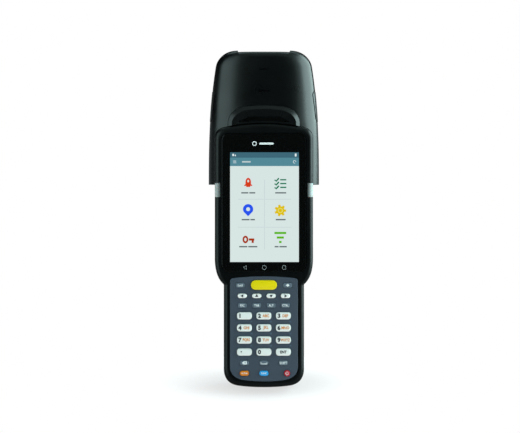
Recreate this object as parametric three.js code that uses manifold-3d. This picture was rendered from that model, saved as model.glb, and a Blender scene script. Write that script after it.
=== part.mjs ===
// A rugged handheld data terminal with a keypad, a touch display, a tag-reader antenna head and a pistol
// grip. Units are millimetres. The terminal is modelled in its own "device" frame: x to the right, y from the
// display towards the back, z from the keypad end towards the antenna end, with the origin on the front face
// at the keypad end. The device group then leans back to the angle at which the real object stands on a
// table, on its keypad end and the foot of its battery, so the exported frame has z up and the floor at z = 0.
import * as THREE from 'three';
import { LoftGeometry } from 'three/addons/geometries/LoftGeometry.js';
import { mergeVertices } from 'three/addons/utils/BufferGeometryUtils.js';
import Module from 'manifold-3d';

const wasm = await Module();
wasm.setup();

// ---------------------------------------------------------------- driving dimensions

const LEAN = THREE.MathUtils.degToRad(16); // how far the standing device leans back
const FLOOR_DROP = 6.8; // from the device origin down to the table, square to the table
const CLEARANCE = 0.3; // between neighbouring pieces

const BODY_WIDTH = 75.3;
const BODY_LENGTH = 202.3;
const KEYPAD_WIDTH = 61.5; // outside width of the body beside the keypad
const BODY_DEPTH = 33;
const PARTING = 13; // depth of the joint between the front and the rear housing
const FRONT_ROUND = 3;
const REAR_ROUND = 7;
const WALL = 2.4;
const FRONT_PLATE = 4.4; // thickness of the front housing's face

const GLASS = { width: 64.8, bottom: 88.5, top: 194.4, corner: 5.5, front: 0.5, back: 2 };
const DISPLAY = { width: 55, bottom: 91.5, top: 184.5, front: 2.6, back: 5.6 };

const FASCIA = { width: 52, bottom: 4.6, top: 85, front: -0.2, back: 2 };
const KEY_FRONT = -1.6;
const KEY_BACK = 3.5;
const KEY_EDGE = 0.5; // bevel round a key's top
const BOARD_FRONT = 4.7; // front face of the keypad board, which the keys press on

const HEAD = {
  bottom: 155.5, // where the arms beside the display end
  top: 259.1,
  halfWidth: 42.75,
  taper: 0.1766, // share of the half width lost along the head
  taperPower: 2.63,
  corner: 12.5,
  front: 6, // depth of the front surface beside the display
  frontFall: 7, // how much deeper the front surface is at the far end
  back: 50,
  backRise: 4,
  edgeRound: 4,
  split: 23, // depth of the joint between the two covers
  wall: 2.6,
  frontSquareness: 2.8,
  backSquareness: 3.4,
};
// The shallow channel between the corners of the far end.
const TOP_RECESS = { halfWidth: 18.2, slope: 2.6, bottom: 253.2, depth: 1.1 };
const SEAT_GAP = 0.4; // between the body and the head that wraps round it

const GRIP_ANGLE = THREE.MathUtils.degToRad(15); // between the grip's axis and the body's normal
const GRIP_ROOT = new THREE.Vector3(0, BODY_DEPTH + CLEARANCE, 94);
const GRIP_LENGTH = 112;
const FOOT_LENGTH = 16;
const BATTERY = { halfWidth: 12.5, front: -12, back: 14, top: 26 };
const TRIGGER_PIVOT = { y: -19.5, z: 8, radius: 1.5, fit: 0.1 };

// ---------------------------------------------------------------- materials

const plastic = (color, roughness) => new THREE.MeshStandardMaterial({ color, roughness, metalness: 0 });
const metal = (color, roughness) => new THREE.MeshStandardMaterial({ color, roughness, metalness: 1 });
const BLACK_PLASTIC = plastic(0x151a1a, 0.5);
const RUBBER = plastic(0x101414, 0.75);
const FASCIA_PLASTIC = plastic(0x424f5f, 0.5);
const KEY_WHITE = plastic(0xdfe9e7, 0.45);
const KEY_YELLOW = plastic(0xd3d70c, 0.45);
const KEY_ORANGE = plastic(0xc8700f, 0.45);
const KEY_BLUE = plastic(0x2d9fdc, 0.45);
const KEY_RED = plastic(0xa3162e, 0.45);
const PALE_CLEAR = plastic(0xc9d2cf, 0.3);
const BLACK_GLASS = plastic(0x060808, 0.1);
const BOARD_GREEN = plastic(0x1f5a38, 0.6);
const STEEL = metal(0x8f9396, 0.35);
const MAGNESIUM = metal(0x9a9d9e, 0.55);

// ---------------------------------------------------------------- solids

// A closed three.js geometry as a solid that can be joined and cut.
function solid(geometry) {
  const bare = new THREE.BufferGeometry()
    .setAttribute('position', geometry.attributes.position)
    .setIndex(geometry.index);
  const merged = mergeVertices(bare, 1e-4);
  return new wasm.Manifold(new wasm.Mesh({
    numProp: 3,
    vertProperties: new Float32Array(merged.attributes.position.array),
    triVerts: new Uint32Array(merged.index.array),
  }));
}

// A named mesh made from a solid.
function mesh(name, made, material) {
  const data = made.getMesh();
  const positions = new Float32Array(data.numVert * 3);
  for (let i = 0; i < data.numVert; i++) {
    positions.set(data.vertProperties.subarray(i * data.numProp, i * data.numProp + 3), i * 3);
  }
  const geometry = new THREE.BufferGeometry()
    .setAttribute('position', new THREE.BufferAttribute(positions, 3))
    .setIndex(new THREE.BufferAttribute(data.triVerts, 1));
  const result = new THREE.Mesh(geometry, material);
  result.name = name;
  return result;
}

// A box between two corners, each given as [x, y, z].
function box([x0, y0, z0], [x1, y1, z1]) {
  const geometry = new THREE.BoxGeometry(x1 - x0, y1 - y0, z1 - z0);
  return solid(geometry.translate((x0 + x1) / 2, (y0 + y1) / 2, (z0 + z1) / 2));
}

// A plate whose outline is drawn in x and z, between two depths in y, with both ends rounded over.
function plate(shape, front, back, round = 0, curveSegments = 3, roundSegments = 2) {
  const geometry = new THREE.ExtrudeGeometry(shape, {
    depth: back - front - 2 * round,
    curveSegments,
    bevelEnabled: round > 0,
    bevelThickness: round,
    bevelSize: round,
    bevelOffset: -round,
    bevelSegments: roundSegments,
  });
  return solid(geometry.rotateX(Math.PI / 2).translate(0, back - round, 0));
}

// A round bar along y, at x and z.
function barAlongY(radius, x, z, front, back, sides = 12) {
  const geometry = new THREE.CylinderGeometry(radius, radius, back - front, sides);
  return solid(geometry.translate(x, (front + back) / 2, z));
}

// A round bar along x, at y and z, centred on x = 0.
function barAlongX(radius, y, z, length, sides = 12) {
  const geometry = new THREE.CylinderGeometry(radius, radius, length, sides);
  return solid(geometry.rotateZ(Math.PI / 2).translate(0, y, z));
}

// A loft through level sections {z, halfWidth, front, back}, each a rounded box of the given squareness.
function levelLoft(stations, frontPower, backPower, points = 32) {
  const sections = stations.map(({ z, halfWidth, front, back }) => {
    const middle = (front + back) / 2;
    const half = (back - front) / 2;
    return Array.from({ length: points }, (_, i) => {
      const angle = (i / points) * 2 * Math.PI;
      const power = 2 / (Math.sin(angle) < 0 ? frontPower : backPower);
      const spread = (value) => Math.sign(value) * Math.abs(value) ** power;
      const x = halfWidth * spread(Math.cos(angle));
      const y = middle + half * spread(Math.sin(angle));
      return new THREE.Vector3(x, y, z);
    });
  });
  return solid(new LoftGeometry(sections, { capStart: true, capEnd: true }));
}

// A closed outline from the path up its right side, mirrored about x = 0.
function mirrored(rightSide, curveSegments) {
  const right = rightSide.getPoints(curveSegments);
  const left = right.filter((p) => p.x > 1e-6).map((p) => new THREE.Vector2(-p.x, p.y)).reverse();
  return new THREE.Shape([...right, ...left]);
}

function roundedRectangle(width, height, radius, x = 0, z = 0) {
  const right = x + width / 2;
  const left = x - width / 2;
  const top = z + height / 2;
  const bottom = z - height / 2;
  const shape = new THREE.Shape();
  shape.absarc(right - radius, top - radius, radius, 0, Math.PI / 2);
  shape.absarc(left + radius, top - radius, radius, Math.PI / 2, Math.PI);
  shape.absarc(left + radius, bottom + radius, radius, Math.PI, 1.5 * Math.PI);
  shape.absarc(right - radius, bottom + radius, radius, 1.5 * Math.PI, 2 * Math.PI);
  return shape;
}

// ---------------------------------------------------------------- outlines

// The body seen from the front, with its whole edge moved inwards by inset.
function bodyOutline(inset = 0, curveSegments = 4) {
  const lower = KEYPAD_WIDTH / 2 - inset;
  const upper = BODY_WIDTH / 2 - inset;
  const top = BODY_LENGTH - inset;
  const side = new THREE.Path();
  side.moveTo(0, inset);
  side.quadraticCurveTo(11, inset, 19, inset + 1.1);
  side.quadraticCurveTo(lower - 0.55, inset + 2.4, lower, inset + 13.5);
  side.lineTo(lower, 78.2);
  side.quadraticCurveTo(lower, 78.8, lower + 0.6, 79.3);
  side.quadraticCurveTo(upper, 85.2, upper, 99);
  side.lineTo(upper, top - 12.3);
  side.quadraticCurveTo(upper, top - 3.9, upper - 8.8, top - 2.9);
  side.quadraticCurveTo(upper / 2 - 4, top, 0, top);
  return mirrored(side, curveSegments);
}

// The keypad's panel, with its whole edge moved outwards by grow.
function fasciaOutline(grow = 0) {
  const right = FASCIA.width / 2 + grow;
  const bottom = FASCIA.bottom - grow;
  const top = FASCIA.top + grow;
  const side = new THREE.Path();
  side.moveTo(0, bottom);
  side.quadraticCurveTo(9, bottom, 15, bottom + 1);
  side.quadraticCurveTo(right - 0.5, bottom + 2.4, right, bottom + 11);
  side.lineTo(right, top - 4);
  side.quadraticCurveTo(right, top - 1.6, right - 3, top - 1.3);
  side.quadraticCurveTo(right / 2, top, 0, top);
  return mirrored(side, 3);
}

function glassOutline(grow = 0) {
  const height = GLASS.top - GLASS.bottom;
  const middle = (GLASS.top + GLASS.bottom) / 2;
  return roundedRectangle(GLASS.width + 2 * grow, height + 2 * grow, GLASS.corner, 0, middle);
}

// The arch of the rubber bumper above the display.
function bumperOutline(grow = 0) {
  const right = 27.5 + grow;
  const top = 216 + grow;
  const bottom = BODY_LENGTH - 7 - grow;
  const side = new THREE.Path();
  side.moveTo(0, bottom);
  side.lineTo(right, bottom);
  side.lineTo(right, BODY_LENGTH + 1);
  side.bezierCurveTo(right - 1.5, top - 3.5, right - 9, top - 1.2, 13, top - 0.8);
  side.quadraticCurveTo(6, top, 0, top);
  return mirrored(side, 4);
}

// ---------------------------------------------------------------- tools for cutting

// Everything under the table, in the device frame.
const belowFloor = box([-200, -200, -200], [200, 400, 0])
  .translate([0, 0, -FLOOR_DROP])
  .rotate([THREE.MathUtils.radToDeg(LEAN), 0, 0]);

// The room that the body needs inside the head, open to the front.
const bodySeat = plate(bodyOutline(-SEAT_GAP), -20, BODY_DEPTH + SEAT_GAP);
const bumperSeat = plate(bumperOutline(CLEARANCE), -20, 15);

// ---------------------------------------------------------------- terminal body

const SCREW_PLACES = [[-22, 16], [22, 16], [-29, 138], [29, 138]];
const SCREW = { headRadius: 2.6, headDepth: 2, shankRadius: 1.25, length: 12, bossRadius: 4.4 };
const LIGHT_PIPE = { inner: 33.4, bottom: 145.6, top: 156.4, back: 9 };
const SPEAKER = { z: 27, radius: 8 };
const DOCK = { halfWidth: 12, front: 15, back: 21, depth: 4 };

function lightPipeRoom(sign, gap) {
  const near = sign * (LIGHT_PIPE.inner + gap);
  const far = sign * (BODY_WIDTH / 2 + 1);
  return box(
    [Math.min(near, far), -1, LIGHT_PIPE.bottom + gap],
    [Math.max(near, far), LIGHT_PIPE.back - gap, LIGHT_PIPE.top - gap],
  );
}

const frontEnvelope = plate(bodyOutline(), 0, BODY_DEPTH, FRONT_ROUND);

function frontHousing() {
  const halfWindow = DISPLAY.width / 2 + CLEARANCE;
  return frontEnvelope
    .intersect(box([-60, -1, -10], [60, PARTING, 240]))
    .subtract(plate(bodyOutline(WALL), FRONT_PLATE, PARTING + 1))
    .subtract(plate(glassOutline(CLEARANCE), -1, GLASS.back + CLEARANCE))
    .subtract(box([-halfWindow, -1, DISPLAY.bottom - CLEARANCE], [halfWindow, 6, DISPLAY.top + CLEARANCE]))
    .subtract(plate(fasciaOutline(CLEARANCE), -1, FASCIA.back + CLEARANCE))
    .subtract(plate(fasciaOutline(-1.8), -1, FRONT_PLATE + 1))
    .subtract(lightPipeRoom(-1, 0))
    .subtract(lightPipeRoom(1, 0));
}

function rearHousing() {
  let made = plate(bodyOutline(), 0, BODY_DEPTH, REAR_ROUND, 3, 3)
    .intersect(box([-60, PARTING + CLEARANCE, -10], [60, 60, 240]))
    .subtract(plate(bodyOutline(WALL), PARTING - 1, BODY_DEPTH - WALL));
  for (const [x, z] of SCREW_PLACES) {
    made = made
      .add(barAlongY(SCREW.bossRadius, x, z, 24, BODY_DEPTH - WALL / 2))
      .subtract(barAlongY(SCREW.headRadius + CLEARANCE, x, z, BODY_DEPTH - SCREW.headDepth - 0.8, 60))
      .subtract(barAlongY(SCREW.shankRadius + CLEARANCE, x, z, 10, 60));
  }
  for (let slot = -2; slot <= 2; slot++) {
    made = made.subtract(box([-7, 25, SPEAKER.z + 3 * slot - 0.7], [7, 60, SPEAKER.z + 3 * slot + 0.7]));
  }
  const dockGap = box([-DOCK.halfWidth - CLEARANCE, DOCK.front - CLEARANCE, -5],
    [DOCK.halfWidth + CLEARANCE, DOCK.back + CLEARANCE, 12]);
  return made.subtract(dockGap).subtract(belowFloor);
}

function rearScrew(x, z) {
  const headFront = BODY_DEPTH - SCREW.headDepth - 0.4;
  const socket = barAlongY(1.1, x, z, BODY_DEPTH - 1.6, 60, 6);
  return barAlongY(SCREW.headRadius, x, z, headFront, BODY_DEPTH - 0.4)
    .add(barAlongY(SCREW.shankRadius, x, z, headFront - SCREW.length, headFront + 0.5))
    .subtract(socket);
}

// ---------------------------------------------------------------- keypad

const COLUMN = 14.9; // pitch of the digit columns
const ARROW = 11; // pitch of the arrow and modifier columns
const DIGIT_KEY = { width: 11.4, height: 5.4, radius: 2 };
const OVAL_KEY = { width: 7.1, height: 3.4, radius: 1.6 };
const FLAT_KEY = { width: 6.8, height: 3.8, radius: 1.4 };
const SCAN_KEY = { width: 19.9, height: 7.2, radius: 3.5 };
const COLOUR_KEY = { width: 7, height: 3.9, radius: 1.85 };
const POWER_KEY = { width: 4.6, height: 4.6, radius: 1.9 };

const keyRow = (z, size, material, columns) =>
  columns.map(([name, x]) => ({ name: `key_${name}`, x, z, ...size, material }));
const threeColumns = (...names) => names.map((name, i) => [name, (i - 1) * COLUMN]);
const fourColumns = (...names) => names.map((name, i) => [name, (i - 1.5) * ARROW]);

const KEYS = [
  ...keyRow(78.2, FLAT_KEY, FASCIA_PLASTIC, [['function', -18.2], ['mode', 18.2]]),
  ...keyRow(78.45, SCAN_KEY, KEY_YELLOW, [['scan', 0]]),
  ...keyRow(70.1, OVAL_KEY, KEY_WHITE, fourColumns('left', 'up', 'down', 'right')),
  ...keyRow(62.8, FLAT_KEY, FASCIA_PLASTIC, fourColumns('escape', 'tab', 'alternate', 'control')),
  ...keyRow(54.9, DIGIT_KEY, KEY_WHITE, threeColumns('1', '2', '3')),
  ...keyRow(45.7, DIGIT_KEY, KEY_WHITE, threeColumns('4', '5', '6')),
  ...keyRow(36.4, DIGIT_KEY, KEY_WHITE, threeColumns('7', '8', '9')),
  ...keyRow(27.2, DIGIT_KEY, KEY_WHITE, threeColumns('point', '0', 'enter')),
  ...keyRow(18.8, FLAT_KEY, FASCIA_PLASTIC, threeColumns('backspace', 'space', 'shift')),
  ...keyRow(10.9, COLOUR_KEY, KEY_ORANGE, [['alpha', -COLUMN]]),
  ...keyRow(10.9, COLOUR_KEY, KEY_BLUE, [['blue', 0]]),
  ...keyRow(10.9, POWER_KEY, KEY_RED, [['power', 17.7]]),
];

function keyOutline({ x, z, width, height, radius }, grow = 0) {
  return roundedRectangle(width + 2 * grow, height + 2 * grow, radius + grow, x, z);
}

function keypadFascia() {
  const shape = fasciaOutline();
  for (const key of KEYS) shape.holes.push(new THREE.Path(keyOutline(key, CLEARANCE).getPoints(1)));
  return plate(shape, FASCIA.front, FASCIA.back, 0, 2);
}

const keySolid = (key) => plate(keyOutline(key), KEY_FRONT, KEY_BACK, KEY_EDGE, 1, 1);

// ---------------------------------------------------------------- antenna head

// The head's level sections, with every wall moved inwards by inset.
function headStations(inset, bottom, top) {
  const levels = 10;
  const rise = (top - HEAD.corner - bottom) / levels;
  const heights = Array.from({ length: levels }, (_, i) => bottom + rise * i);
  for (let i = 0; i <= 5; i++) {
    heights.push(top - HEAD.corner * (1 - Math.sin((i / 5) * (Math.PI / 2))));
  }
  return heights.map((z) => {
    const share = Math.max(0, (z - HEAD.bottom) / (HEAD.top - HEAD.bottom));
    const beyondBody = Math.max(0, (z - BODY_LENGTH) / (HEAD.top - BODY_LENGTH));
    const drop = (radius) => {
      const past = Math.max(0, z - (top - radius));
      return radius - Math.sqrt(Math.max(0, radius * radius - past * past));
    };
    return {
      z,
      halfWidth: HEAD.halfWidth * (1 - HEAD.taper * share ** HEAD.taperPower) - drop(HEAD.corner) - inset,
      front: HEAD.front + HEAD.frontFall * beyondBody + drop(HEAD.edgeRound) + inset,
      back: HEAD.back - HEAD.backRise * beyondBody - drop(HEAD.edgeRound) - inset,
    };
  });
}

const MODULE_ROOM = { halfWidth: 29, front: 36, back: 46.6, bottom: 158, top: 210 };
const WINDOW = {
  halfWidth: 15.5, front: 29.5, back: 37.5, flange: 1.2, flangeBack: 253.4, flangeFront: 255.1,
};

function headLoft(inset, bottom, top) {
  return levelLoft(headStations(inset, bottom, top), HEAD.frontSquareness, HEAD.backSquareness, 36);
}

// The shallow channel between the two corners of the head's far end, through its whole depth.
function topRecess() {
  const above = HEAD.top + 1.5;
  const side = new THREE.Path();
  side.moveTo(0, TOP_RECESS.bottom);
  side.lineTo(TOP_RECESS.halfWidth, TOP_RECESS.bottom);
  side.lineTo(TOP_RECESS.halfWidth + TOP_RECESS.slope, above);
  side.lineTo(0, above);
  const lowered = headLoft(0, HEAD.bottom, HEAD.top).translate([0, 0, -TOP_RECESS.depth]);
  return plate(mirrored(side, 1), -5, HEAD.back + 20).subtract(lowered);
}

function headShell() {
  const cavity = headLoft(HEAD.wall, BODY_LENGTH + 4, HEAD.top - TOP_RECESS.depth - HEAD.wall)
    .add(box([-MODULE_ROOM.halfWidth, MODULE_ROOM.front, MODULE_ROOM.bottom],
      [MODULE_ROOM.halfWidth, MODULE_ROOM.back, MODULE_ROOM.top]));
  const windowRoom = box([-WINDOW.halfWidth - CLEARANCE, WINDOW.front - CLEARANCE, WINDOW.flangeBack],
    [WINDOW.halfWidth + CLEARANCE, WINDOW.back + CLEARANCE, HEAD.top + 1]);
  return headLoft(0, HEAD.bottom, HEAD.top)
    .subtract(topRecess())
    .subtract(cavity)
    .subtract(bodySeat)
    .subtract(bumperSeat)
    .subtract(windowRoom);
}

// A pane that fills the opening in the end of the head, with a flange behind it.
function scanWindow() {
  const { halfWidth, front, back, flange, flangeBack, flangeFront } = WINDOW;
  const rim = halfWidth + flange;
  return box([-halfWidth, front, flangeBack], [halfWidth, back, HEAD.top - TOP_RECESS.depth - 0.6])
    .add(box([-rim, front - flange, flangeBack], [rim, back + flange, flangeFront]));
}

const BUMPER_CHAMFER = 2.4;

function topBumper() {
  const bodyRoom = plate(bodyOutline(-CLEARANCE), -5, 30);
  return plate(bumperOutline(), 1.2, 14.5, BUMPER_CHAMFER, 3, 1).subtract(bodyRoom);
}

// ---------------------------------------------------------------- pistol grip

// In the grip's own frame z runs outwards along the grip and y towards the palm, so the trigger is at -y.
const GRIP_STATIONS = [
  { z: -12, front: -31, back: 46, halfWidth: 21 },
  { z: 0, front: -28, back: 34, halfWidth: 19.6 },
  { z: 7, front: -24.5, back: 27.5, halfWidth: 18.6 },
  { z: 16, front: -22, back: 24, halfWidth: 18 },
  { z: 32, front: -20.5, back: 22.5, halfWidth: 17.6 },
  { z: 52, front: -19, back: 22.6, halfWidth: 17.2 },
  { z: 76, front: -19, back: 22, halfWidth: 17.2 },
  { z: 98, front: -19.8, back: 23, halfWidth: 17.8 },
  { z: GRIP_LENGTH, front: -22, back: 25, halfWidth: 19 },
];
const FOOT_STATIONS = [
  { z: GRIP_LENGTH + CLEARANCE, front: -23, back: 26, halfWidth: 20 },
  { z: GRIP_LENGTH + 4, front: -25.5, back: 27.5, halfWidth: 21 },
  { z: GRIP_LENGTH + FOOT_LENGTH - 3, front: -26.5, back: 28, halfWidth: 21.2 },
  { z: GRIP_LENGTH + FOOT_LENGTH - 0.9, front: -25.6, back: 27.1, halfWidth: 20.3 },
  { z: GRIP_LENGTH + FOOT_LENGTH, front: -23.5, back: 25, halfWidth: 18.2 },
];
const TRIGGER_SLOT = { halfWidth: 9.6, back: -16.2, top: 4, bottom: 43 };
const SWITCH = { halfWidth: 4, front: -15.8, back: -9, top: 12, bottom: 19 };
const LATCH = { z: GRIP_LENGTH + 8, y: 1, depth: 3.2, length: 15, height: 8 };

const grip = new THREE.Group();
grip.position.copy(GRIP_ROOT);
grip.rotation.x = -(Math.PI / 2 + GRIP_ANGLE);
grip.updateMatrix();
const intoGrip = grip.matrix.clone().invert();

// A cutting tool from the device frame, in the grip's frame.
const inGrip = (tool) => tool.transform(intoGrip.toArray());

function gripHalf(sign) {
  const behindBody = inGrip(box([-60, -60, -60], [60, BODY_DEPTH + CLEARANCE, 300]));
  const side = box([sign > 0 ? CLEARANCE / 2 : -60, -90, -30], [sign > 0 ? 60 : -CLEARANCE / 2, 90, 160]);
  const well = box([-BATTERY.halfWidth - CLEARANCE, BATTERY.front - CLEARANCE, BATTERY.top - CLEARANCE],
    [BATTERY.halfWidth + CLEARANCE, BATTERY.back + CLEARANCE, GRIP_LENGTH + 1]);
  const slot = box([-TRIGGER_SLOT.halfWidth, -60, TRIGGER_SLOT.top],
    [TRIGGER_SLOT.halfWidth, TRIGGER_SLOT.back, TRIGGER_SLOT.bottom]);
  const switchRoom = box([-SWITCH.halfWidth - CLEARANCE, -60, SWITCH.top - CLEARANCE],
    [SWITCH.halfWidth + CLEARANCE, SWITCH.back + CLEARANCE, SWITCH.bottom + CLEARANCE]);
  const wiring = box([-8, SWITCH.back, SWITCH.top], [8, 10, BATTERY.top + 1]);
  return levelLoft(GRIP_STATIONS, 2.7, 2.5, 28)
    .intersect(side)
    .subtract(behindBody)
    .subtract(well)
    .subtract(slot)
    .subtract(switchRoom)
    .subtract(wiring)
    .subtract(barAlongX(TRIGGER_PIVOT.radius + TRIGGER_PIVOT.fit, TRIGGER_PIVOT.y, TRIGGER_PIVOT.z, 27));
}

function triggerLever() {
  const side = new THREE.Shape();
  side.moveTo(-17.2, 5.2);
  side.quadraticCurveTo(-27.5, 4.6, -28.6, 11);
  side.quadraticCurveTo(-26.6, 24, -31.5, 36);
  side.quadraticCurveTo(-32, 40, -28.5, 40.6);
  side.lineTo(-22.2, 39.6);
  side.lineTo(-17.2, 12.5);
  const geometry = new THREE.ExtrudeGeometry(side, {
    depth: 15, curveSegments: 4, bevelThickness: 1.5, bevelSize: 1.2, bevelOffset: -1.2, bevelSegments: 2,
  });
  geometry.translate(0, 0, -7.5);
  geometry.applyMatrix4(new THREE.Matrix4().makeBasis(
    new THREE.Vector3(0, 1, 0), new THREE.Vector3(0, 0, 1), new THREE.Vector3(1, 0, 0),
  ));
  return solid(geometry)
    .subtract(barAlongX(TRIGGER_PIVOT.radius + TRIGGER_PIVOT.fit, TRIGGER_PIVOT.y, TRIGGER_PIVOT.z, 40));
}

// The recess for a latch, or the latch itself when gap is positive, on the side given by sign.
function latchBlock(sign, gap) {
  const outer = 25;
  const inner = 21 - LATCH.depth + gap;
  const x = sign > 0 ? [inner, outer] : [-outer, -inner];
  return box([x[0], LATCH.y - LATCH.length / 2 + gap, LATCH.z - LATCH.height / 2 + gap],
    [x[1], LATCH.y + LATCH.length / 2 - gap, LATCH.z + LATCH.height / 2 - gap]);
}

const footEnvelope = levelLoft(FOOT_STATIONS, 4, 4, 28);

function batteryPack() {
  const core = box([-BATTERY.halfWidth, BATTERY.front, BATTERY.top],
    [BATTERY.halfWidth, BATTERY.back, GRIP_LENGTH + 2]);
  return footEnvelope
    .add(core)
    .subtract(latchBlock(1, 0))
    .subtract(latchBlock(-1, 0))
    .subtract(inGrip(belowFloor));
}

const LATCH_TRAVEL = 1.5;

// A latch stands clear of its pocket's floor by its travel, and fits flush in the foot's side.
function batteryLatch(sign) {
  const inner = 21 - LATCH.depth + LATCH_TRAVEL + CLEARANCE;
  const cut = sign > 0 ? box([-60, -60, 0], [inner, 60, 200]) : box([-inner, -60, 0], [60, 60, 200]);
  return footEnvelope.intersect(latchBlock(sign, CLEARANCE)).subtract(cut);
}

// ---------------------------------------------------------------- assembly

const device = new THREE.Group();

device.add(
  mesh('front_housing', frontHousing(), BLACK_PLASTIC),
  mesh('rear_housing', rearHousing(), BLACK_PLASTIC),
  mesh('touch_glass', plate(glassOutline(), GLASS.front, GLASS.back), BLACK_GLASS),
  mesh('lcd_panel', box([-DISPLAY.width / 2, DISPLAY.front, DISPLAY.bottom],
    [DISPLAY.width / 2, DISPLAY.back, DISPLAY.top]), plastic(0xd8e6e4, 0.3)),
  mesh('keypad_fascia', keypadFascia(), FASCIA_PLASTIC),
  mesh('keypad_board', plate(fasciaOutline(-0.3), BOARD_FRONT, BOARD_FRONT + 1.2), BOARD_GREEN),
  mesh('chassis_frame', plate(bodyOutline(WALL + 0.6), 9.4, 11)
    .subtract(box([-16, 5, 110], [16, 12, 165])), MAGNESIUM),
  mesh('main_board', plate(bodyOutline(WALL + 1), 14, 15.6).intersect(box([-60, 0, 48], [60, 30, 132]))
    .add(box([-18, 15, 60], [12, 18, 90])).add(box([-20, 15, 98], [16, 17.5, 124])), BOARD_GREEN),
  mesh('dock_contacts',
    box([-DOCK.halfWidth, DOCK.front, 1.2], [DOCK.halfWidth, DOCK.back, 1.2 + DOCK.depth]),
    metal(0xc9a24a, 0.35)),
  mesh('speaker', barAlongY(SPEAKER.radius, 0, SPEAKER.z, 26, 30, 20), STEEL),
  mesh('light_pipe_left', frontEnvelope.intersect(lightPipeRoom(-1, CLEARANCE)), PALE_CLEAR),
  mesh('light_pipe_right', frontEnvelope.intersect(lightPipeRoom(1, CLEARANCE)), PALE_CLEAR),
  mesh('top_bumper', topBumper(), RUBBER),
);
SCREW_PLACES.forEach(([x, z], i) => device.add(mesh(`rear_screw_${i + 1}`, rearScrew(x, z), STEEL)));
for (const key of KEYS) device.add(mesh(key.name, keySolid(key), key.material));

const headBody = headShell();
device.add(
  mesh('head_front_cover', headBody.intersect(box([-60, -5, 100], [60, HEAD.split, 300])), BLACK_PLASTIC),
  mesh('head_rear_cover', headBody.intersect(box([-60, HEAD.split + CLEARANCE, 100], [60, 80, 300])),
    BLACK_PLASTIC),
  mesh('antenna_board', box([-27, 20, 214], [27, 21.6, 242]).add(box([-22, 21, 218], [22, 24.5, 238])),
    BOARD_GREEN),
  mesh('rfid_module', box([-26, 38, 162], [26, 45, 200]), STEEL),
  mesh('scan_engine', box([-13, 28, 232], [13, 39, 249]), plastic(0x22262a, 0.6)),
  mesh('scan_window', scanWindow(), plastic(0x2a0508, 0.1)),
);

grip.add(
  mesh('grip_left', gripHalf(-1), BLACK_PLASTIC),
  mesh('grip_right', gripHalf(1), BLACK_PLASTIC),
  mesh('trigger', triggerLever(), plastic(0x2b3033, 0.5)),
  mesh('trigger_pin', barAlongX(TRIGGER_PIVOT.radius, TRIGGER_PIVOT.y, TRIGGER_PIVOT.z, 26.4), STEEL),
  mesh('trigger_switch', box([-SWITCH.halfWidth, SWITCH.front, SWITCH.top],
    [SWITCH.halfWidth, SWITCH.back, SWITCH.bottom]), plastic(0x22262a, 0.6)),
  mesh('battery_pack', batteryPack(), BLACK_PLASTIC),
  mesh('battery_latch_left', batteryLatch(-1), plastic(0x3a4146, 0.5)),
  mesh('battery_latch_right', batteryLatch(1), plastic(0x3a4146, 0.5)),
);
device.add(grip);

device.rotation.x = -LEAN;
device.position.z = FLOOR_DROP;
const standing = new THREE.Group();
standing.add(device);
standing.updateMatrixWorld(true);
const bounds = new THREE.Box3().setFromObject(standing, true);
device.position.y = -(bounds.min.y + bounds.max.y) / 2;

export default standing;
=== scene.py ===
"""Looks of a handheld data terminal with a tag-reader head and a pistol grip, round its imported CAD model.

Shapes are drawn in millimetres in the terminal's own device frame: x to the right, y from the display towards
the back, z from the keypad end towards the head, with the origin on the front face at the keypad end. DEVICE
takes them to the row frame, where the terminal leans back and stands on the floor.
"""
import math

import bmesh
import bpy
from mathutils import Matrix, Vector


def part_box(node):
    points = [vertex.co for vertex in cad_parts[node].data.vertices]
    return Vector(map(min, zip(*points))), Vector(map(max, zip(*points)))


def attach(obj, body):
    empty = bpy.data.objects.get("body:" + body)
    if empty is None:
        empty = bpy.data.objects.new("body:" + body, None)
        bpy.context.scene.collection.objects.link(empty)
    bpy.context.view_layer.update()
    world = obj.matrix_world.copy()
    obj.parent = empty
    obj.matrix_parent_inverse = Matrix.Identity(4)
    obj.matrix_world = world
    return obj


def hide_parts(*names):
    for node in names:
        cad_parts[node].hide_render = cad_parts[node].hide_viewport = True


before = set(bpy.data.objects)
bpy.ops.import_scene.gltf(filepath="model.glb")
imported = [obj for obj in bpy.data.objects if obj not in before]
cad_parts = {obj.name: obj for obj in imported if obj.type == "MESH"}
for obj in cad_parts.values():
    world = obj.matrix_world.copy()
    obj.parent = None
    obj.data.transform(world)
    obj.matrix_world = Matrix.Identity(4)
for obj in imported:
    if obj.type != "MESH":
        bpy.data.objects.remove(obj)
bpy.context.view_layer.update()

# ---- the frame

MM = 0.001
LEAN = math.radians(16)
GRIP_ANGLE = math.radians(15)
GRIP_ROOT = Vector((0, 33.3, 94))
DISPLAY_CENTRE = Vector((0, 4.1, 138))  # of the CAD's display panel, in the device frame


def device_matrix():
    """From the device frame, in millimetres, to the row frame, in metres."""
    low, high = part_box("lcd_panel")
    turn = Matrix.Rotation(-LEAN, 4, "X") @ Matrix.Scale(MM, 4)
    return Matrix.Translation((low + high) / 2 - turn @ DISPLAY_CENTRE) @ turn


DEVICE = device_matrix()
GRIP_IN_DEVICE = Matrix.Translation(GRIP_ROOT) @ Matrix.Rotation(-(math.pi / 2 + GRIP_ANGLE), 4, "X")
GRIP = DEVICE @ GRIP_IN_DEVICE

# ---- sizes, in millimetres

BODY_WIDTH = 75.3
BODY_LENGTH = 202.3
KEYPAD_WIDTH = 61.5
BODY_DEPTH = 33
PARTING = 13
WALL = 2.4
GAP = 0.3

BODY_FRONT_EDGE = 3.4
BODY_BACK_EDGE = 7
FACE_DEPTH = 4.4  # the wall behind the front face
WINDOW = {"half_width": 27.8, "bottom": 91.2, "top": 184.8}

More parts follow.
